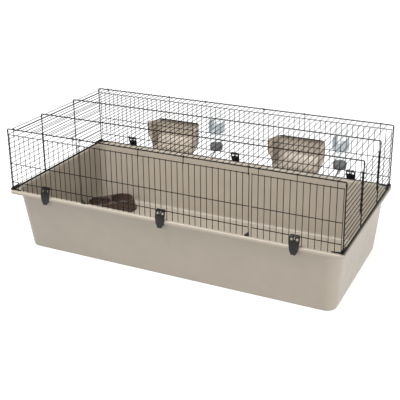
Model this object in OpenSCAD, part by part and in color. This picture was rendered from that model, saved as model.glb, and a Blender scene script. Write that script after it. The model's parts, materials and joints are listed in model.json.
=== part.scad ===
// Indoor rabbit cage: deep plastic tub, wire cover with three hanging front panels,
// tub clips, hay hoppers, drinking bottles and a twin food dish.
// Units mm, +Z up, front of the cage faces -Y, origin at the middle of the tub's underside.

/* [Tub] */
// length of the tub over its rim
tub_l = 1520; // [1518:1:1530]
// depth of the tub over its rim, front to back
tub_w = 760; // [758:1:766]
// height of the tub, floor to the top of the rim
tub_h = 284; // [260:1:300]
// length of the tub at its underside
base_l = 1432; // [1400:1:1460]
// depth of the tub at its underside
base_w = 636; // [600:1:660]
// thickness of the tub wall
tub_wall = 3; // [2.5:0.1:4]
// height of the rim's turned-down lip
lip_h = 14; // [12:0.5:15]

/* [Wire cover] */
// length of the cover between its corner wires
cover_l = 1500; // [1496:1:1502]
// depth of the cover between its front and back wires
cover_w = 728; // [724:1:730]
// height from the rim to the top edge wires
cover_h = 283; // [270:1:300]
// diameter of the bent frame wires
frame_d = 4.8; // [4.6:0.1:4.9]
// diameter of the horizontal panel wires
rail_d = 3.4; // [3.2:0.1:3.5]
// diameter of the thin mesh wires
mesh_d = 2.8; // [2.6:0.1:2.9]
// diameter of the wires along the foot of the two sides
foot_d = 7; // [6.6:0.1:7.2]
// distance between the upright wires of the front panels
front_pitch = 25.3; // [25.25:0.05:25.35]
// distance between the upright wires of the back panel
back_pitch = 24.75; // [24.7:0.05:24.8]
// distance between the wires of the roof
roof_pitch = 25.4; // [25.3:0.05:25.5]
// distance between the wires of the two sides
side_pitch = 22.3; // [22:0.1:22.6]
// gap between the left panel and the door
left_gap = 5.3; // [5.2:0.1:5.6]
// gap between the door and the right panel
right_gap = 12; // [11.5:0.1:12.2]
// position of the front middle hoop, from the centre
hoop_a_y = -121; // [-130:1:-112]
// position of the back middle hoop, from the centre
hoop_b_y = 137; // [130:1:144]

/* [Tub clips] */
// width of a clip at its hooks
clip_w = 42; // [41:0.5:43]
// width of a clip at its lower tab
clip_tab_w = 30; // [26:1:34]

/* [Hay hoppers] */
// width of a hopper at its top
hopper_w = 276; // [274:1:278]
// how far a hopper stands out at its top
hopper_out = 90; // [86:1:94]
// height of a hopper
hopper_h = 134; // [132:1:137]

/* [Bottles] */
// outside diameter of a bottle
bottle_d = 72; // [70:1:72]
// length of the bottle body above its shoulder
bottle_h = 137; // [130:1:145]

/* [Food dish] */
// diameter of the dish's two basins at the rim
basin_d = 106; // [100:1:108]
// height of the dish
dish_h = 58; // [54:1:62]

/* [Hidden] */
sm = 36;
rim = tub_h;
top_z = rim + cover_h;
hoop_x = cover_l / 2;
hoop_y = cover_w / 2;
bend_r = 5;
curl_r = frame_d / 2 + 0.35 + mesh_d / 2 + 0.05;
curl_d = mesh_d + 0.2;
hinge_d = 3.6;
hinge_r = frame_d / 2 + 0.35 + hinge_d / 2 + 0.05;
hinge_side = 2.4;
panel_y = hoop_y + curl_r;
rail_y = panel_y + mesh_d / 2 + rail_d / 2 - 0.3;
rail_zs = [top_z - 23, top_z - 156, top_z - 242];
low_z = rail_zs[2];
mid_z = rail_zs[1];
door_half = 15 * front_pitch;
door_x = -2;
panel_len = 14 * front_pitch;
left_panel_x = door_x - door_half - left_gap - panel_len;
right_panel_x = door_x + door_half + right_gap;
clip_xs = [left_panel_x + 7 * front_pitch, door_x, right_panel_x + 7 * front_pitch];
back_clip_xs = [-23 * back_pitch, 0, 23 * back_pitch];
hopper_xs = [-339, 306];
hopper_hooks = [[-18.5 * back_pitch, -8.5 * back_pitch], [7.5 * back_pitch, 17.5 * back_pitch]];
hopper_y = rail_y + rail_d / 2 + 0.4;
hopper_z = rim + 2;
bottle_xs = [-115, 20.5 * back_pitch];
holder_hooks = [-4.5 * back_pitch, 20.5 * back_pitch];
bottle_y = rail_y + rail_d / 2 + 4.6 + bottle_d / 2;
cap_z = rim + 31;
bottle_z = cap_z + 32;
spout_tilt = 70;
spout_l = 65;
dish_xy = [-584, 169];
dish_turn = 47;
basin_gap = 112;

// ---- straight wires by axis ----
module wire_x(x0, x1, y, z, d) {
  translate([x0, y, z]) rotate([0, 90, 0]) cylinder(h = x1 - x0, d = d, $fn = sm);
}

module wire_y(x, y0, y1, z, d) {
  translate([x, y0, z]) rotate([-90, 0, 0]) cylinder(h = y1 - y0, d = d, $fn = sm);
}

module wire_z(x, y, z0, z1, d) {
  translate([x, y, z0]) cylinder(h = z1 - z0, d = d, $fn = sm);
}

// ---- tub ----
module slab(l, w, r, z, h) {
  for (sx = [-1, 1])
    for (sy = [-1, 1])
      translate([sx * (l / 2 - r), sy * (w / 2 - r), z]) cylinder(h = h, r = r, $fn = 48);
}

module tub() {
  wall_l = tub_l - 2 * 18;
  wall_w = tub_w - 2 * 20;
  t = tub_wall;
  color([0.72, 0.67, 0.60]) difference() {
    union() {
      hull() {
        slab(base_l - 16, base_w - 16, 37, 0, 1);
        slab(base_l, base_w, 45, 9, 1);
        slab(wall_l, wall_w, 60, rim - 2, 1);
      }
      hull() slab(tub_l, tub_w, 18, rim - lip_h, lip_h);
    }
    hull() {
      slab(base_l - 16 - 2 * t, base_w - 16 - 2 * t, 34, t, 1);
      slab(base_l - 2 * t, base_w - 2 * t, 42, 10, 1);
      slab(wall_l - 2 * t, wall_w - 2 * t, 57, rim + 1, 1);
    }
    difference() {
      hull() slab(tub_l - 2 * t, tub_w - 2 * t, 15, rim - lip_h - 1, lip_h - 2);
      hull() {
        slab(base_l, base_w, 45, 9, 1);
        slab(wall_l, wall_w, 60, rim - 2, 1);
      }
    }
  }
}

// ---- fixed wire panels of the cover ----
module side_grille(s) {
  x = s * hoop_x;
  mesh_x = s * (hoop_x + frame_d / 2 + mesh_d / 2 - 0.3);
  color([0.12, 0.12, 0.13]) union() {
    for (y = [-hoop_y, hoop_a_y, hoop_b_y, hoop_y]) {
      wire_z(x, y, rim + 2.4, top_z - bend_r, frame_d);
      wire_z(x, y, top_z - bend_r - 12, top_z - bend_r - 2, frame_d + 2.2);
    }
    wire_y(x, -hoop_y - 2.5, hoop_y + 2.5, rim + 0.1 + foot_d / 2, foot_d);
    for (i = [0:11])
      wire_y(mesh_x, -hoop_y - 2, hoop_y + 2, top_z - 26.7 - side_pitch * i, mesh_d);
    if (s > 0)
      for (y = [hoop_a_y, hoop_b_y])
        wire_z(x - frame_d + 0.4, y, rim + 67, top_z - 45, frame_d);
  }
}

module left_side_grille() {
  side_grille(-1);
}

module right_side_grille() {
  side_grille(1);
}

module roof_hoop(y) {
  wire_x(-hoop_x + bend_r - 0.3, hoop_x - bend_r + 0.3, y, top_z, frame_d);
  for (s = [-1, 1])
    translate([s * (hoop_x - bend_r), y, top_z - bend_r])
      rotate([90, 0, 0])
        rotate([0, 0, s > 0 ? 0 : 90])
          rotate_extrude(angle = 90, $fn = sm)
            translate([bend_r, 0]) circle(d = frame_d + 0.1, $fn = sm);
}

module roof_grille() {
  color([0.12, 0.12, 0.13]) union() {
    for (y = [-hoop_y, hoop_a_y, hoop_b_y, hoop_y])
      roof_hoop(y);
    for (i = [-29:28])
      wire_y((i + 0.5) * roof_pitch, -hoop_y - 2, hoop_y + 2,
        top_z + frame_d / 2 + mesh_d / 2 - 0.3, mesh_d);
  }
}

// ring of wire curled round a top edge wire, open towards the panel below it
module curl(x, s, r, d) {
  translate([x, s * hoop_y, top_z])
    rotate([0, -90, 0])
      rotate([0, 0, s > 0 ? -150 : -90])
        rotate_extrude(angle = 240, $fn = sm)
          translate([r, 0]) circle(d = d, $fn = sm);
}

module back_grille() {
  color([0.12, 0.12, 0.13]) union() {
    for (i = [-30:30])
      wire_z(i * back_pitch, panel_y, rim + 0.6, rail_zs[0] + 2.2, mesh_d);
    for (z = concat(rail_zs, [rim + 2.2]))
      wire_x(-30 * back_pitch - 1.2, 30 * back_pitch + 1.2, rail_y, z, rail_d);
    for (i = [-28, -14, -6, 6, 14, 28]) {
      wire_z(i * back_pitch, panel_y, rail_zs[0] + 1, top_z + 0.3, mesh_d);
      curl(i * back_pitch, 1, curl_r, curl_d);
    }
  }
}

// ---- hanging front panels ----
module front_wires(x0, n, curls) {
  union() {
    for (i = [0:n - 1])
      wire_z(x0 + i * front_pitch, -panel_y, rim + 1.5, rail_zs[0] + 2.2, mesh_d);
    for (z = rail_zs)
      wire_x(x0 - 1.2, x0 + (n - 1) * front_pitch + 1.2, -rail_y, z, rail_d);
    for (i = curls) {
      wire_z(x0 + i * front_pitch, -panel_y, rail_zs[0] + 1, top_z + 0.3, mesh_d);
      curl(x0 + i * front_pitch, -1, curl_r, curl_d);
    }
  }
}

module left_front_panel() {
  color([0.12, 0.12, 0.13]) front_wires(left_panel_x, 15, [1, 7, 13]);
}

module right_front_panel() {
  color([0.12, 0.12, 0.13]) front_wires(right_panel_x, 15, [1, 7, 13]);
}

module front_door() {
  color([0.12, 0.12, 0.13]) union() {
    front_wires(door_x - door_half, 31, []);
    for (i = [-15, -4, 4, 15]) {
      x = door_x + i * front_pitch + (i < 15 ? hinge_side : -hinge_side);
      wire_z(x, -hoop_y - hinge_r, rail_zs[0] - 6, top_z + 0.3, hinge_d - 0.2);
      curl(x, -1, hinge_r, hinge_d);
    }
  }
}

// turning tab on the door's outer upright wire, pointing towards the door's middle
module door_latch(s) {
  x = door_x - s * door_half;
  color([0.06, 0.06, 0.06]) translate([x, -panel_y, rim + 1]) difference() {
    union() {
      cylinder(h = 15, r = 3.2, $fn = sm);
      translate([0, 2.4, 0]) rotate([90, 0, 0]) linear_extrude(height = 4.8)
        polygon([[0, 0], [s * 17, 0], [s * 17, 2.5], [s * 4, 15], [0, 15]]);
    }
    translate([0, 0, -1]) cylinder(h = 20, r = mesh_d / 2 + 0.1, $fn = sm);
  }
}

module door_latch_left() {
  door_latch(1);
}

module door_latch_right() {
  door_latch(-1);
}

// ---- black feet under the four corners of the cover ----
module corner_feet() {
  color([0.06, 0.06, 0.06])
    for (sx = [-1, 1])
      for (sy = [-1, 1])
        mirror([sx < 0 ? 1 : 0, 0, 0]) mirror([0, sy < 0 ? 1 : 0, 0]) difference() {
          union() {
            translate([hoop_x - 6.5, hoop_y - 48, rim + 0.1]) cube([14, 49.6, 8.8]);
            translate([hoop_x - 3.8, hoop_y - 1, rim + 0.1]) cube([11.3, 6, 8.8]);
            translate([hoop_x - 6.5, hoop_y - 12, rim + 5]) cube([7.6, 13.6, 8.2]);
            translate([hoop_x, hoop_y + 1.6, rim + 0.1]) rotate([90, 0, 0])
              linear_extrude(height = 6) polygon([[-44, 0], [-5, 0], [-5, 6], [-44, 2.4]]);
          }
          wire_z(hoop_x, hoop_y, rim, rim + 20, frame_d + 0.2);
          wire_y(hoop_x, hoop_y - 60, hoop_y + 3, rim + 0.1 + foot_d / 2, foot_d + 0.2);
          translate([hoop_x - 2.7, hoop_y - 60, rim - 1]) cube([5.4, 63, 3.4]);
        }
}

// ---- tub clips ----
// drawn at the lower rail of a back panel, two hooks round the rail with an upright wire
// between them, jaw below the rim's lip
module tub_clip() {
  reach = tub_w / 2 - rail_y;
  lip_v = rim - lip_h - low_z;
  w = clip_w / 2;
  v = clip_tab_w / 2;
  color([0.06, 0.06, 0.06]) difference() {
    intersection() {
      translate([-w, 0, 0]) rotate([90, 0, 90]) linear_extrude(height = clip_w)
        polygon([
          [2.4, -4], [reach + 0.9, -37], [reach + 0.9, lip_v - 2.4], [reach - 5.5, lip_v - 3.4],
          [reach - 5.5, lip_v - 8], [reach + 3, lip_v - 11], [reach + 5, lip_v - 17],
          [reach + 8.5, lip_v - 17], [reach + 6, lip_v - 4], [reach + 6, -36], [5.8, 1.5],
          [3.4, 4.8], [0, 6], [-3.4, 4.8], [-5.4, 1.5], [-5, -3], [-2.4, -5.4]
        ]);
      translate([0, 40, 0]) rotate([90, 0, 0]) linear_extrude(height = 60)
        polygon([
          [-w, -6], [2 - w, 0], [4 - w, 4], [6 - w, 7], [-6, 7], [-4, 4], [-2.1, -3.2], [-2.1, -14],
          [2.1, -14], [2.1, -3.2], [4, 4], [6, 7], [w - 6, 7], [w - 4, 4], [w - 2, 0], [w, -6],
          [w, -24], [v + 2, -56], [v - 6, -72], [6 - v, -72], [-v - 2, -56], [-w, -24]
        ]);
    }
    wire_x(-clip_w, clip_w, 0, 0, rail_d + 0.6);
    for (s = [-1, 1])
      translate([s * (w / 2 + 0.6) - 5.2, -20, -17]) cube([10.4, 60, 11.2]);
    translate([0, reach - 10, lip_v + 5]) rotate([-90, 0, 0]) cylinder(h = 30, r = 2.2, $fn = sm);
  }
}

module back_clip(i) {
  translate([back_clip_xs[i], rail_y, low_z]) tub_clip();
}

module front_clip(i) {
  translate([clip_xs[i], -rail_y, low_z]) mirror([0, 1, 0]) tub_clip();
}

module clip_front_left() {
  front_clip(0);
}

module clip_front_middle() {
  front_clip(1);
}

module clip_front_right() {
  front_clip(2);
}

module clip_back_left() {
  back_clip(0);
}

module clip_back_middle() {
  back_clip(1);
}

module clip_back_right() {
  back_clip(2);
}

// ---- hay hoppers, hung on the back panel's middle rail ----
// the pocket's outside moved in by t; its back is open towards the wire panel
module hopper_body(t, top) {
  w = hopper_w / 2;
  d = hopper_out;
  intersection() {
    translate([0, 0, -1]) linear_extrude(height = hopper_h + 9)
      polygon([
        [t - w, -t], [w - t, -t], [w - t, 10], [w - 25 - t, d - 15], [w - 38, d - t],
        [38 - w, d - t], [t + 25 - w, d - 15], [t - w, 10]
      ]);
    translate([0, 200, 0]) rotate([90, 0, 0]) linear_extrude(height = 300)
      polygon([
        [26 - w, t], [w - 26, t], [w - 22 - t, 35], [w - t, 79], [w - t, top], [t - w, top],
        [t - w, 79], [t + 22 - w, 35]
      ]);
    translate([-w - 5, 0, 0]) rotate([90, 0, 90]) linear_extrude(height = hopper_w + 10)
      polygon([
        [-t, t], [12 - t / 3, t], [26 - t / 2, 10 + t / 2], [58 - t / 2, 30 + t], [d - 8 - t, 52],
        [d - t, hopper_h], [d - t, top], [-t, top]
      ]);
  }
}

module hay_hopper(i) {
  t = 2.4;
  w = hopper_w / 2;
  arm_z = mid_z + rail_d / 2 + 0.4 - hopper_z;
  color([0.80, 0.73, 0.62]) translate([0, hopper_y, hopper_z]) union() {
    translate([hopper_xs[i], 0, 0]) difference() {
      hopper_body(0, hopper_h);
      hopper_body(t, hopper_h + 5);
    }
    translate([hopper_xs[i], t, 0]) rotate([90, 0, 0]) linear_extrude(height = t)
      difference() {
        polygon([
          [26 - w, 0], [w - 26, 0], [w - 22, 35], [w, 79], [w, hopper_h], [-w, hopper_h],
          [-w, 79], [22 - w, 35]
        ]);
        polygon([
          [36 - w, 14], [w - 36, 14], [w - 36, 40], [w - 27, 84], [w - 27, hopper_h + 1],
          [27 - w, hopper_h + 1], [27 - w, 84], [36 - w, 40]
        ]);
      }
    for (x = hopper_hooks[i]) {
      translate([x - 5, 0, arm_z - 4]) cube([10, t, 9]);
      translate([x - 5, -7.6, arm_z]) cube([10, 8.4, 3]);
      translate([x - 5, -7.6, arm_z - 10]) cube([10, 2.6, 12]);
    }
  }
}

module hay_hopper_left() {
  hay_hopper(0);
}

module hay_hopper_right() {
  hay_hopper(1);
}

// ---- drinking bottles ----
module bottle_holder(i) {
  r_in = bottle_d / 2 + 0.4;
  x = holder_hooks[i];
  arm_z = mid_z + rail_d / 2 + 0.4;
  front_y = rail_y + rail_d / 2 + 0.6;
  color([0.62, 0.72, 0.78]) union() {
    translate([bottle_xs[i], bottle_y, mid_z - 3]) difference() {
      cylinder(h = 52, r = r_in + 2.4, $fn = 72);
      translate([0, 0, -1]) cylinder(h = 60, r = r_in, $fn = 72);
      translate([-24, 10, -1]) cube([48, 60, 60]);
      translate([0, 0, 52]) rotate([90, 0, 0]) cylinder(h = 60, r = 15, $fn = sm);
    }
    difference() {
      translate([x - 7, front_y, mid_z - 2]) cube([14, 6, 20]);
      translate([bottle_xs[i], bottle_y, mid_z - 10]) cylinder(h = 60, r = r_in + 1, $fn = 72);
    }
    translate([x - 6, front_y - 7.8, arm_z]) cube([12, 8.8, 3]);
    translate([x - 6, front_y - 7.8, arm_z - 10]) cube([12, 2.6, 12]);
  }
}

module bottle_holder_left() {
  bottle_holder(0);
}

module bottle_holder_right() {
  bottle_holder(1);
}

module bottle(i) {
  r = bottle_d / 2;
  t = 1.6;
  h = bottle_h;
  color([0.85, 0.92, 0.95]) translate([bottle_xs[i], bottle_y, bottle_z])
    rotate_extrude($fn = 72) polygon([
      [22.4, -24], [24.4, -24], [24.4, 0], [r - 4, 10], [r, 19], [r, h], [r - 5, h + 14],
      [12, h + 22], [0, h + 22], [0, h + 22 - t], [12, h + 22 - t], [r - 5 - t, h + 14 - t],
      [r - t, h], [r - t, 19.6], [r - 5.4, 11.4], [22.4, 1.2]
    ]);
}

module bottle_left() {
  bottle(0);
}

module bottle_right() {
  bottle(1);
}

module bottle_cap(i) {
  color([0.20, 0.21, 0.22]) translate([bottle_xs[i], bottle_y, cap_z]) difference() {
    union() {
      cylinder(h = 30, r = 30, $fn = 72);
      translate([0, 0, -3]) cylinder(h = 3.2, r = 22, $fn = 72);
      for (a = [0:20:340])
        rotate([0, 0, a]) translate([29.4, -2, 2]) cube([1.6, 4, 25]);
    }
    translate([0, 0, 4]) cylinder(h = 30, r = 24.75, $fn = 72);
    rotate([180 - spout_tilt, 0, 0]) translate([0, 0, -4]) cylinder(h = 60, r = 4.05, $fn = sm);
  }
}

module bottle_cap_left() {
  bottle_cap(0);
}

module bottle_cap_right() {
  bottle_cap(1);
}

// steel drinking tube, leaning through the back panel over the tub's rim
module spout(i) {
  color([0.75, 0.76, 0.78]) translate([bottle_xs[i], bottle_y, cap_z])
    rotate([180 - spout_tilt, 0, 0]) difference() {
      translate([0, 0, -3]) cylinder(h = spout_l + 4, r = 4, $fn = sm);
      translate([0, 0, -4]) cylinder(h = spout_l + 4, r = 3.3, $fn = sm);
      translate([0, 0, spout_l - 2]) cylinder(h = 6, r = 2.3, $fn = sm);
    }
}

module spout_left() {
  spout(0);
}

module spout_right() {
  spout(1);
}

// steel ball that stops the drinking tube
module spout_ball(i) {
  color([0.8, 0.8, 0.82]) translate([bottle_xs[i], bottle_y, cap_z])
    rotate([180 - spout_tilt, 0, 0]) translate([0, 0, spout_l - 2.4]) sphere(r = 3, $fn = 60);
}

module spout_ball_left() {
  spout_ball(0);
}

module spout_ball_right() {
  spout_ball(1);
}

// ---- twin food dish on the tub's floor ----
// the dish's flared outside, moved in by t
module dish_shell(t, top) {
  hull()
    for (s = [-1, 1])
      translate([s * basin_gap / 2, 0, 0])
        cylinder(h = top, r1 = 75 - t, r2 = 75 - t - 17 * top / dish_h, $fn = 64);
}

module food_dish() {
  r = basin_d / 2;
  color([0.28, 0.20, 0.17])
    translate([dish_xy[0], dish_xy[1], tub_wall + 0.1]) rotate([0, 0, dish_turn])
      difference() {
        dish_shell(0, dish_h);
        for (s = [-1, 1])
          translate([s * basin_gap / 2, 0, 0]) rotate_extrude($fn = 72)
            polygon([
              [0, 10], [r - 24, 10], [r - 12, 15], [r - 5, 26], [r, dish_h + 1], [0, dish_h + 1]
            ]);
        difference() {
          translate([0, 0, -0.1]) dish_shell(3, dish_h - 3);
          for (s = [-1, 1])
            translate([s * basin_gap / 2, 0, -1]) cylinder(h = dish_h, r = r + 1.4, $fn = 72);
        }
      }
}

tub();
left_side_grille();
right_side_grille();
roof_grille();
back_grille();
left_front_panel();
right_front_panel();
front_door();
door_latch_left();
door_latch_right();
corner_feet();
clip_front_left();
clip_front_middle();
clip_front_right();
clip_back_left();
clip_back_middle();
clip_back_right();
hay_hopper_left();
hay_hopper_right();
bottle_holder_left();
bottle_holder_right();
bottle_left();
bottle_right();
bottle_cap_left();
bottle_cap_right();
spout_left();
spout_right();
spout_ball_left();
spout_ball_right();
food_dish();
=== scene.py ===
import json
import math

import bmesh
import bpy
from mathutils import Matrix, Vector


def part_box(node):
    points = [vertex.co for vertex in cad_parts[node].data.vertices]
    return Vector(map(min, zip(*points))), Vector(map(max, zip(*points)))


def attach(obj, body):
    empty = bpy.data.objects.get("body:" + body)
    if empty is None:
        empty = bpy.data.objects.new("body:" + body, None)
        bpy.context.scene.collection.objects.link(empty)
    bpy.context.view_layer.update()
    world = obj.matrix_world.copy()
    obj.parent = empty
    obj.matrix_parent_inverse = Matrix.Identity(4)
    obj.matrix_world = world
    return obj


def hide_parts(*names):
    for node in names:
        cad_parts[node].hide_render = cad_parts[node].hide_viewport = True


# Wire rabbit cage: the finished look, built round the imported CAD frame.
# Metres, +Z up, the cage's front faces -Y.

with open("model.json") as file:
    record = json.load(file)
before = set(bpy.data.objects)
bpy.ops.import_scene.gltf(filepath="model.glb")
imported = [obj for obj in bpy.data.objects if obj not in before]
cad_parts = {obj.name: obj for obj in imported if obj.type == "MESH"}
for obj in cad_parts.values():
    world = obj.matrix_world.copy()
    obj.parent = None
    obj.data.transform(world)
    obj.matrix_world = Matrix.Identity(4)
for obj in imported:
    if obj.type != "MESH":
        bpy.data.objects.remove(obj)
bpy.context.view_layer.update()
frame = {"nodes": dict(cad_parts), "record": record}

MM = 0.001
WELD_DISTANCE = 0.002 * MM
NOISE_LOW, NOISE_HIGH = 0.3, 0.7  # where most of a noise texture's values lie
CAD_SHARP, TUB_SHARP, TURNED_SHARP, MOULDED_SHARP = 28, 35, 50, 70  # degrees
SIDES = ("left", "right")

# ---------------------------------------------------------------- materials


def nodes_of(name):
    """A new material, its node tree and its Principled shader."""
    material = bpy.data.materials.new(name)
    material.use_nodes = True
    tree = material.node_tree
    return material, tree, tree.nodes["Principled BSDF"]


def coordinates(tree, scale=(1, 1, 1)):
    """Object coordinates in metres, stretched by scale."""
    texture = tree.nodes.new("ShaderNodeTexCoord")
    mapping = tree.nodes.new("ShaderNodeMapping")
    mapping.inputs["Scale"].default_value = scale
    tree.links.new(texture.outputs["Object"], mapping.inputs["Vector"])
    return mapping.outputs["Vector"]


def noise(tree, vector, size, detail=3, roughness=0.5):
    """Noise whose features are about size metres across."""
    node = tree.nodes.new("ShaderNodeTexNoise")
    node.inputs["Scale"].default_value = 1 / size
    node.inputs["Detail"].default_value = detail
    node.inputs["Roughness"].default_value = roughness
    tree.links.new(vector, node.inputs["Vector"])
    return node.outputs["Fac"]


def ramp(tree, value, stops):
    """A colour ramp; stops are (place, colour)."""
    node = tree.nodes.new("ShaderNodeValToRGB")
    elements = node.color_ramp.elements
    while len(elements) < len(stops):
        elements.new(0.5)
    for element, (place, colour) in zip(elements, stops):
        element.position = place
        element.color = (*colour, 1)
    tree.links.new(value, node.inputs["Fac"])
    return node.outputs["Color"]


def spread(tree, value, low, high):
    """Maps the usual range of a noise value to low..high."""
    node = tree.nodes.new("ShaderNodeMapRange")
    node.inputs["From Min"].default_value = NOISE_LOW
    node.inputs["From Max"].default_value = NOISE_HIGH
    node.inputs["To Min"].default_value = low
    node.inputs["To Max"].default_value = high
    tree.links.new(value, node.inputs["Value"])
    return node.outputs["Result"]


def bump(tree, shader, height, strength, distance, under=None):
    """Adds a bump to the shader, on top of the bump under."""
    node = tree.nodes.new("ShaderNodeBump")
    node.inputs["Strength"].default_value = strength
    node.inputs["Distance"].default_value = distance
    tree.links.new(height, node.inputs["Height"])
    if under:
        tree.links.new(under, node.inputs["Normal"])
    tree.links.new(node.outputs["Normal"], shader.inputs["Normal"])
    return node.outputs["Normal"]


def shade(colour, factor):
    """The colour made lighter or darker."""
    return tuple(min(1, c * factor) for c in colour)


def moulded_plastic(name, colour, roughness, grain=0.9 * MM, depth=0.05 * MM, specular=0.45):
    """Moulded plastic: a fine leather grain, faint flow marks and patchy gloss."""
    material, tree, shader = nodes_of(name)
    place = coordinates(tree)
    patches = noise(tree, place, 90 * MM, 4, 0.55)
    tint = ramp(tree, patches, [(0.3, shade(colour, 0.965)), (0.7, shade(colour, 1.03))])
    tree.links.new(tint, shader.inputs["Base Color"])
    gloss = noise(tree, place, 35 * MM, 3, 0.6)
    tree.links.new(
        spread(tree, gloss, roughness - 0.04, roughness + 0.05), shader.inputs["Roughness"]
    )
    waves = bump(tree, shader, noise(tree, place, 160 * MM, 1), 0.25, 1.2 * MM)
    bump(tree, shader, noise(tree, place, grain, 2, 0.6), 0.35, depth, waves)
    shader.inputs["Specular IOR Level"].default_value = specular
    return material


def coated_wire(name):
    """Black baked coating on wire: uneven gloss and a slight orange peel."""
    material, tree, shader = nodes_of(name)
    place = coordinates(tree)
    patches = noise(tree, place, 22 * MM, 3, 0.6)
    dark, light = (0.002, 0.0016, 0.0013), (0.0045, 0.0036, 0.003)
    tint = ramp(tree, patches, [(0.35, dark), (0.7, light)])
    tree.links.new(tint, shader.inputs["Base Color"])
    tree.links.new(spread(tree, patches, 0.38, 0.52), shader.inputs["Roughness"])
    bump(tree, shader, noise(tree, place, 1.6 * MM, 2), 0.3, 0.05 * MM)
    shader.inputs["Specular IOR Level"].default_value = 0.1
    return material


def clear_plastic(name, colour, alpha):
    """Thin clear plastic with faint waves in its wall; alpha is how much of it shows."""
    material, tree, shader = nodes_of(name)
    place = coordinates(tree)
    mist = noise(tree, place, 26 * MM, 3)
    tree.links.new(
        ramp(tree, mist, [(0.3, shade(colour, 0.97)), (0.7, colour)]), shader.inputs["Base Color"]
    )
    tree.links.new(spread(tree, mist, 0.05, 0.12), shader.inputs["Roughness"])
    shader.inputs["Alpha"].default_value = alpha
    bump(tree, shader, noise(tree, place, 30 * MM, 2), 0.3, 0.5 * MM)
    return material


def bright_steel(name):
    """Drawn steel tube, streaked by fine scratches."""
    material, tree, shader = nodes_of(name)
    place = coordinates(tree)
    lines = noise(tree, coordinates(tree, (9, 1, 1)), 2.2 * MM, 3, 0.7)
    tree.links.new(
        ramp(tree, lines, [(0.3, (0.50, 0.50, 0.51)), (0.7, (0.68, 0.68, 0.69))]),
        shader.inputs["Base Color"],
    )
    tree.links.new(spread(tree, lines, 0.16, 0.30), shader.inputs["Roughness"])
    shader.inputs["Metallic"].default_value = 1
    bump(tree, shader, noise(tree, place, 0.8 * MM, 2), 0.2, 0.02 * MM)
    return material


def speckled_plastic(name, colour):
    """Dark glossy moulded plastic, faintly mottled."""
    material, tree, shader = nodes_of(name)
    place = coordinates(tree)
    mottle = noise(tree, place, 9 * MM, 5, 0.6)
    tree.links.new(
        ramp(tree, mottle, [(0.3, shade(colour, 0.8)), (0.55, colour), (0.8, shade(colour, 1.25))]),
        shader.inputs["Base Color"],
    )
    tree.links.new(spread(tree, mottle, 0.22, 0.32), shader.inputs["Roughness"])
    waves = bump(tree, shader, noise(tree, place, 30 * MM, 1), 0.2, 0.5 * MM)
    bump(tree, shader, noise(tree, place, 1.2 * MM, 2), 0.2, 0.03 * MM, waves)
    return material


TUB_PLASTIC = moulded_plastic("tub_plastic", (0.335, 0.292, 0.238), 0.36)
HOPPER_PLASTIC = moulded_plastic("hopper_plastic", (0.41, 0.35, 0.285), 0.38)
BLACK_PLASTIC = moulded_plastic(
    "black_plastic", (0.004, 0.0038, 0.0036), 0.30, 0.6 * MM, 0.03 * MM, 0.3
)
CAP_PLASTIC = moulded_plastic("cap_plastic", (0.17, 0.173, 0.175), 0.42, 0.6 * MM, 0.03 * MM)
HOLDER_PLASTIC = clear_plastic("holder_plastic", (0.42, 0.50, 0.56), 0.5)
BOTTLE_PLASTIC = clear_plastic("clear_plastic", (0.80, 0.86, 0.88), 0.10)
WIRE = coated_wire("wire")
STEEL = bright_steel("steel")
DISH_PLASTIC = speckled_plastic("dish_plastic", (0.062, 0.040, 0.030))

SLOT_MATERIALS = {
    "tub_plastic": TUB_PLASTIC,
    "hopper_plastic": HOPPER_PLASTIC,
    "black_plastic": BLACK_PLASTIC,
    "cap_plastic": CAP_PLASTIC,
    "holder_plastic": HOLDER_PLASTIC,
    "clear_plastic": BOTTLE_PLASTIC,
    "wire": WIRE,
    "steel": STEEL,
    "dish_plastic": DISH_PLASTIC,
}

for part in frame["record"]["subparts"]:
    cad_node = frame["nodes"][part["node"]]
    cad_node.data.materials.clear()
    cad_node.data.materials.append(SLOT_MATERIALS[part["material_slot"]])
    cad_node.data.shade_smooth()
    cad_node.data.set_sharp_from_angle(angle=math.radians(CAD_SHARP))

# ---------------------------------------------------------------- mesh helpers


def new_piece(name, points, faces, slot, body, replaced, sharp):
    """A mesh piece that rides on a body and stands for a CAD node."""
    mesh = bpy.data.meshes.new(name)
    mesh.from_pydata([tuple(p) for p in points], [], faces)
    mesh.validate()
    mesh.materials.append(SLOT_MATERIALS[slot])
    mesh.shade_smooth()
    mesh.set_sharp_from_angle(angle=math.radians(sharp))
    piece = bpy.data.objects.new(name, mesh)
    bpy.context.scene.collection.objects.link(piece)
    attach(piece, body)
    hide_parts(replaced)
    return piece


def weld(piece):
    """Joins points that lie together and turns every face outwards."""
    work = bmesh.new()
    work.from_mesh(piece.data)
    bmesh.ops.remove_doubles(work, verts=work.verts, dist=WELD_DISTANCE)
    bmesh.ops.recalc_face_normals(work, faces=work.faces)
    work.to_mesh(piece.data)
    work.free()


def rounded_loop(half_x, half_y, radius, z, steps=12):
    """A rounded rectangle's points, counter-clockwise from the right side's front end."""
    points = []
    for turn, (sx, sy) in enumerate([(1, 1), (-1, 1), (-1, -1), (1, -1)]):
        cx, cy = sx * (half_x - radius), sy * (half_y - radius)
        for k in range(steps + 1):
            angle = math.radians(90 * (turn + k / steps))
            points.append((cx + radius * math.cos(angle), cy + radius * math.sin(angle), z))
    return points


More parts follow.
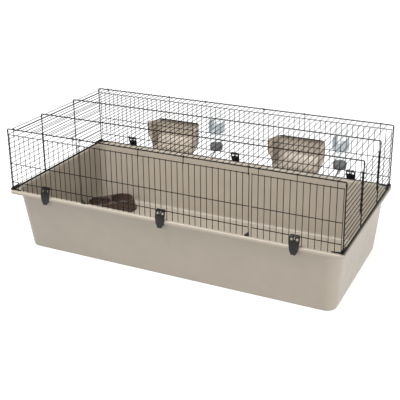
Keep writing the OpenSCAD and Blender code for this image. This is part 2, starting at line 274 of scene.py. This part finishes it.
def loft(loops, close_start=True, close_end=True):
    """Points and faces of a skin through closed loops of equal length."""
    n = len(loops[0])
    points = [p for loop in loops for p in loop]
    faces = []
    for i in range(len(loops) - 1):
        for k in range(n):
            m = (k + 1) % n
            faces.append((i * n + k, i * n + m, (i + 1) * n + m, (i + 1) * n + k))
    if close_start:
        faces.append(tuple(reversed(range(n))))
    if close_end:
        last = (len(loops) - 1) * n
        faces.append(tuple(range(last, last + n)))
    return points, faces


def lathe(profile, centre, steps):
    """Points and faces of a profile of (radius, height) turned about a vertical axis."""
    loops = []
    for radius, z in profile:
        loop = []
        for k in range(steps):
            angle = 2 * math.pi * k / steps
            loop.append(
                (centre[0] + radius * math.cos(angle), centre[1] + radius * math.sin(angle), z)
            )
        loops.append(loop)
    return loft(loops, False, False)


def arc(cx, cz, radius, start, end, steps):
    """Points on an arc in a profile's plane, angles in degrees."""
    return [
        (
            cx + radius * math.cos(math.radians(start + (end - start) * k / steps)),
            cz + radius * math.sin(math.radians(start + (end - start) * k / steps)),
        )
        for k in range(steps + 1)
    ]


def quarter(radius, steps, first=0):
    """How far a quarter round has left its first side and still is from its second, by steps."""
    angles = [math.radians(90 * k / steps) for k in range(first, steps + 1)]
    return [(radius * (1 - math.cos(a)), radius * (1 - math.sin(a))) for a in angles]


# ---------------------------------------------------------------- tub

RIM_X, RIM_Y, RIM_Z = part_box("tub")[1]
BASE_X, BASE_Y = 716 * MM, 318 * MM  # half the tub's size at its foot
WALL_X, WALL_Y = RIM_X - 18 * MM, RIM_Y - 20 * MM  # half its size under the rim
WALL = 3 * MM
WALL_TOP = RIM_Z - 8 * MM
LIP = 14 * MM  # the rim's height at its outer edge
FOOT_R, INNER_FOOT_R = 12 * MM, 14 * MM
FOOT_CORNER_R, CORNER_GROWTH, LEAST_CORNER_R = 45 * MM, 15 * MM, 4 * MM
RIM_CORNER_R = 20 * MM
UNDER_RIM_R, LIP_INNER_R, RIM_OUTER_R, RIM_INNER_R = 5 * MM, 3 * MM, 4 * MM, 6 * MM


def wall_section(z, inset):
    """The wall's rounded outline at height z, moved in by inset."""
    t = max(0.0, z - FOOT_R) / (RIM_Z - FOOT_R)
    half_x = BASE_X + (WALL_X - BASE_X) * t - inset
    half_y = BASE_Y + (WALL_Y - BASE_Y) * t - inset
    radius = FOOT_CORNER_R + CORNER_GROWTH * t - inset
    return rounded_loop(half_x, half_y, max(radius, LEAST_CORNER_R), z)


def rim_section(z, inset):
    """The rim's rounded outline at height z, moved in by inset."""
    return rounded_loop(RIM_X - inset, RIM_Y - inset, RIM_CORNER_R - inset, z)


def make_tub():
    """Up the outside, out under the rim, round its lip, over the top and down the inside."""
    under = RIM_Z - WALL
    half = WALL / 2
    inner_top, inner_low = RIM_Z - RIM_INNER_R, WALL + INNER_FOOT_R
    wall_steps, lip_steps = 12, 6
    loops = [wall_section(left, ahead) for left, ahead in quarter(FOOT_R, 8)]
    for k in range(1, wall_steps + 1):
        loops.append(wall_section(FOOT_R + (WALL_TOP - FOOT_R) * k / wall_steps, 0))
    for left, ahead in quarter(UNDER_RIM_R, 4, 1):
        loops.append(wall_section(under - ahead, -left))
    for left, ahead in quarter(LIP_INNER_R, 4):
        loops.append(rim_section(under - left, WALL + ahead))
    for k in range(lip_steps + 1):
        a = math.pi * k / lip_steps
        loops.append(rim_section(RIM_Z - LIP + half - half * math.sin(a), half + half * math.cos(a)))
    for left, ahead in quarter(RIM_OUTER_R, 6):
        loops.append(rim_section(RIM_Z - ahead, left))
    for left, ahead in quarter(RIM_INNER_R, 6):
        loops.append(wall_section(RIM_Z - left, WALL - ahead))
    for k in range(1, wall_steps):
        loops.append(wall_section(inner_top + (inner_low - inner_top) * k / wall_steps, WALL))
    for left, ahead in quarter(INNER_FOOT_R, 8):
        loops.append(wall_section(WALL + ahead, WALL + left))
    points, faces = loft(loops)
    new_piece("tub_shell", points, faces, "tub_plastic", "base", "tub", TUB_SHARP)


make_tub()

# ---------------------------------------------------------------- food dish

DISH_TURN = math.radians(47)
BASIN_GAP = 112 * MM
BASIN_R = 53 * MM
BASIN_FLOOR = 10 * MM  # above the dish's foot
DISH_TOP_R = 58 * MM
DISH_BASE_R = 75 * MM
DISH_EDGE_R = 1.8 * MM
FOOT_EDGE = 1.5 * MM
ACROSS, ALONG, ROUND = 10, 8, 36  # points on each stretch of half the dish's outline


def half_outline(r, z):
    """Half of the dish's outline about its basin's centre, the other basin lying towards +X.

    The first ACROSS points run along the middle plane, the rest round the outside."""
    middle = BASIN_GAP / 2
    points = [(middle, -r + 2 * r * k / ACROSS, z) for k in range(ACROSS)]
    points += [(middle * (1 - k / ALONG), r, z) for k in range(ALONG)]
    for k in range(ROUND):
        angle = math.pi * (0.5 + k / ROUND)
        points.append((r * math.cos(angle), r * math.sin(angle), z))
    points += [(middle * k / ALONG, -r, z) for k in range(ALONG)]
    return points


def basin_rings(top, floor):
    """Circles from the basin's middle out to its lip, with points facing the outline's."""
    profile = [(0.6 * MM, floor), (BASIN_R - 30 * MM, floor)]
    profile += arc(BASIN_R - 24 * MM, floor + 19 * MM, 19 * MM, -90, -12, 10)
    profile += [(BASIN_R - 1.6 * MM, top - 16 * MM), (BASIN_R - 0.2 * MM, top - 4 * MM)]
    profile += arc(BASIN_R + 1.6 * MM, top - 1.8 * MM, 1.8 * MM, 180, 90, 4)
    facing = [math.atan2(y, x) for x, y, _ in half_outline(DISH_TOP_R, top)]
    return [[(r * math.cos(a), r * math.sin(a), z) for a in facing] for r, z in profile]


def dish_rings(low, top):
    """The rings of half the dish, from the basin's middle to its underside, and the lip's place."""
    rings = basin_rings(top, low + BASIN_FLOOR)
    rings.append(half_outline(DISH_TOP_R - DISH_EDGE_R, top))
    lip = len(rings) - 1
    for left, ahead in quarter(DISH_EDGE_R, 4, 1):
        rings.append(half_outline(DISH_TOP_R - ahead, top - left))
    edge_z, foot_z, skirt_steps = top - DISH_EDGE_R, low + FOOT_EDGE, 8
    for k in range(1, skirt_steps + 1):
        t = k / skirt_steps
        r = DISH_TOP_R + (DISH_BASE_R - DISH_TOP_R) * t
        rings.append(half_outline(r, edge_z + (foot_z - edge_z) * t))
    for inset, rise in ((FOOT_EDGE, 0), (5 * MM, 0), (6 * MM, 3 * MM)):
        rings.append(half_outline(DISH_BASE_R - inset, low + rise))
    return rings, lip


def make_dish():
    """Two halves, each the other turned half round, joined along the middle plane."""
    low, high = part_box("food_dish")
    centre = (low + high) / 2
    rings, lip = dish_rings(low.z, high.z)
    n = len(rings[0])
    cos_turn, sin_turn = math.cos(DISH_TURN), math.sin(DISH_TURN)
    points, faces = [], []
    for half in (1, -1):
        start = len(points)
        for x, y, z in (point for ring in rings for point in ring):
            px, py = half * (x - BASIN_GAP / 2), half * y
            turned_x = centre.x + px * cos_turn - py * sin_turn
            turned_y = centre.y + px * sin_turn + py * cos_turn
            points.append((turned_x, turned_y, z))
        for i in range(len(rings) - 1):
            for k in range(n):
                if i >= lip and k < ACROSS:
                    continue
                m = (k + 1) % n
                a, b = start + i * n, start + (i + 1) * n
                faces.append((a + k, b + k, b + m, a + m))
        faces.append(tuple(start + k for k in range(n)))
        faces.append(tuple(start + (len(rings) - 1) * n + k for k in reversed(range(n))))
    dish = new_piece("dish_body", points, faces, "dish_plastic", "dish", "food_dish", TURNED_SHARP)
    weld(dish)


make_dish()

# ---------------------------------------------------------------- bottles


NECK_R, BOTTLE_WALL, SHOULDER_Z = 24.4 * MM, 1.6 * MM, 24 * MM
NECK_FILLET_R, SHOULDER_R, BASE_R = 3 * MM, 13 * MM, 12 * MM
GROOVE_HEIGHTS, GROOVE_DEPTH, GROOVE_PITCH, GROOVE_STEPS = (58 * MM, 146 * MM), 0.9 * MM, 1.2 * MM, 6
SUNKEN_BASE = ((14 * MM, 0), (8 * MM, 1.5 * MM), (0.5 * MM, 3 * MM))  # (radius, depth)
BOTTLE_STEPS = 72


def make_bottle(side):
    """A clear bottle hung neck down: two shallow grooves round it, and a slightly sunken base."""
    node = "bottle_" + side
    low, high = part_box(node)
    centre = (low + high) / 2
    r = (high.x - low.x) / 2
    shoulder = low.z + SHOULDER_Z
    outer = [(NECK_R, low.z), (NECK_R, shoulder - 1 * MM)]
    outer += arc(NECK_R + NECK_FILLET_R, shoulder + 1 * MM, NECK_FILLET_R, 180, 110, 4)
    outer += arc(r - SHOULDER_R, shoulder + 18 * MM, SHOULDER_R, -60, 0, 8)
    for groove in GROOVE_HEIGHTS:
        for k in range(GROOVE_STEPS + 1):
            depth = GROOVE_DEPTH * math.sin(math.pi * k / GROOVE_STEPS) ** 2
            outer.append((r - depth, low.z + groove + (k - GROOVE_STEPS / 2) * GROOVE_PITCH))
    outer += arc(r - BASE_R, high.z - BASE_R, BASE_R, 0, 80, 8)
    outer += [(radius, high.z - depth) for radius, depth in SUNKEN_BASE]
    base_from, axis_r = high.z - BASE_R - 1 * MM, 0.5 * MM
    inner = [
        (max(x - BOTTLE_WALL, axis_r), z - (BOTTLE_WALL if z > base_from else 0)) for x, z in outer
    ]
    inner[0] = (NECK_R - BOTTLE_WALL, low.z)
    profile = outer + inner[::-1]
    points, faces = lathe(profile, centre, BOTTLE_STEPS)
    last = (len(profile) - 1) * BOTTLE_STEPS
    for k in range(BOTTLE_STEPS):
        m = (k + 1) % BOTTLE_STEPS
        faces.append((last + k, last + m, m, k))
    new_piece("bottle_blown_" + side, points, faces, "clear_plastic", node, node, TURNED_SHARP)


for side in SIDES:
    make_bottle(side)

# ---------------------------------------------------------------- moulded small parts

FLAT_ANGLE = math.radians(0.6)  # faces that meet flatter than this are one face
ROUNDED_ANGLE = math.radians(32)  # edges sharper than this are rounded
BEVEL_SEGMENTS = 2


def body_holding(node):
    """The body that a CAD node belongs to."""
    bodies = frame["record"]["behaviour"]["bodies"]
    return next(body for body, held in bodies.items() if node in held)


def slot_holding(node):
    """The material slot that a CAD node has in the record."""
    parts = frame["record"]["subparts"]
    return next(part["material_slot"] for part in parts if part["node"] == node)


def soften(name, node, radius):
    """The node's shape again with its sharp edges rounded, as a moulding has them."""
    source = frame["nodes"][node]
    work = bmesh.new()
    work.from_mesh(source.data)
    bmesh.ops.remove_doubles(work, verts=work.verts, dist=WELD_DISTANCE)
    bmesh.ops.dissolve_limit(work, angle_limit=FLAT_ANGLE, verts=work.verts, edges=work.edges)
    mesh = bpy.data.meshes.new(name)
    work.to_mesh(mesh)
    work.free()
    slot_name = slot_holding(node)
    mesh.materials.append(SLOT_MATERIALS[slot_name])
    mesh.shade_smooth()
    mesh.set_sharp_from_angle(angle=math.radians(MOULDED_SHARP))
    piece = bpy.data.objects.new(name, mesh)
    bpy.context.scene.collection.objects.link(piece)
    edge = piece.modifiers.new("edges", "BEVEL")
    edge.width = radius
    edge.segments = BEVEL_SEGMENTS
    edge.limit_method = "ANGLE"
    edge.angle_limit = ROUNDED_ANGLE
    edge.use_clamp_overlap = True
    edge.harden_normals = True
    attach(piece, body_holding(node))
    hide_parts(node)


for side in SIDES:
    soften("hopper_moulding_" + side, "hay_hopper_" + side, 0.9 * MM)
    soften("holder_moulding_" + side, "bottle_holder_" + side, 0.7 * MM)
    soften("cap_moulding_" + side, "bottle_cap_" + side, 0.5 * MM)
    soften("latch_moulding_" + side, "door_latch_" + side, 0.7 * MM)
for row in ("front", "back"):
    for place in ("left", "middle", "right"):
        soften("clip_moulding_%s_%s" % (row, place), "clip_%s_%s" % (row, place), 0.8 * MM)
soften("foot_mouldings", "corner_feet", 0.8 * MM)

# ---------------------------------------------------------------- floor, light and camera


FLOOR_HALF = 14
FLOOR_GREY, FLOOR_GLOW, FLOOR_ROUGHNESS = 0.5, 0.72, 0.9
WORLD_STRENGTH = 0.6
AZIMUTH, ELEVATION, ROLL = (math.radians(v) for v in (25.88, 19.53, -0.5))
CAMERA_PLACE = (1.430, -2.956, 1.627)
SENSOR_WIDTH, LENS, SHIFT_UP = 36, 71.95, -0.125

# name, place, the point it is aimed at, size and watts
LIGHTS = (
    ("key", (-0.7, -0.95, 2.9), (0.1, 0.15, 0.1), (2.2, 1.0), 122),
    ("side", (2.5, -0.5, 0.17), (0.7, 0, 0.13), (1.8, 0.26), 26),
    ("front", (0.2, -3.4, 1.7), (0, 0.3, 0.35), (2.2, 0.9), 52),
)


def make_floor():
    """A white floor that glows by itself and throws no diffuse light on the cage."""
    mesh = bpy.data.meshes.new("floor")
    corners = [(x * FLOOR_HALF, y * FLOOR_HALF, 0) for x, y in ((-1, -1), (1, -1), (1, 1), (-1, 1))]
    mesh.from_pydata(corners, [], [(0, 1, 2, 3)])
    material, _, shader = nodes_of("floor")
    shader.inputs["Base Color"].default_value = (FLOOR_GREY, FLOOR_GREY, FLOOR_GREY, 1)
    shader.inputs["Roughness"].default_value = FLOOR_ROUGHNESS
    shader.inputs["Specular IOR Level"].default_value = 0
    shader.inputs["Emission Color"].default_value = (1, 1, 1, 1)
    shader.inputs["Emission Strength"].default_value = FLOOR_GLOW
    mesh.materials.append(material)
    floor = bpy.data.objects.new("floor", mesh)
    bpy.context.scene.collection.objects.link(floor)
    floor.visible_diffuse = False


def area_light(name, place, aim, size, power):
    """A soft rectangular light at a place, aimed at a point."""
    light = bpy.data.lights.new(name, "AREA")
    light.shape = "RECTANGLE"
    light.size, light.size_y = size
    light.energy = power
    lamp = bpy.data.objects.new(name, light)
    lamp.location = place
    lamp.rotation_euler = (Vector(aim) - Vector(place)).to_track_quat("-Z", "Y").to_euler()
    bpy.context.scene.collection.objects.link(lamp)


def make_camera():
    """The photograph's angle: from the front right, a little above."""
    level = math.cos(ELEVATION)
    back = Vector((math.sin(AZIMUTH) * level, -math.cos(AZIMUTH) * level, math.sin(ELEVATION)))
    camera = bpy.data.cameras.new("camera")
    camera.sensor_width = SENSOR_WIDTH
    camera.lens = LENS
    camera.shift_y = SHIFT_UP
    eye = bpy.data.objects.new("camera", camera)
    eye.location = CAMERA_PLACE
    turn = (-back).to_track_quat("-Z", "Y").to_matrix() @ Matrix.Rotation(ROLL, 3, "Z")
    eye.rotation_euler = turn.to_euler()
    bpy.context.scene.collection.objects.link(eye)
    bpy.context.scene.camera = eye


def make_world():
    """Even white light from all round."""
    world = bpy.data.worlds.new("studio")
    bpy.context.scene.world = world
    world.use_nodes = True
    background = world.node_tree.nodes["Background"]
    background.inputs["Color"].default_value = (1, 1, 1, 1)
    background.inputs["Strength"].default_value = WORLD_STRENGTH


make_floor()
make_camera()
for light_settings in LIGHTS:
    area_light(*light_settings)
make_world()
bpy.context.scene.view_settings.view_transform = "Standard"
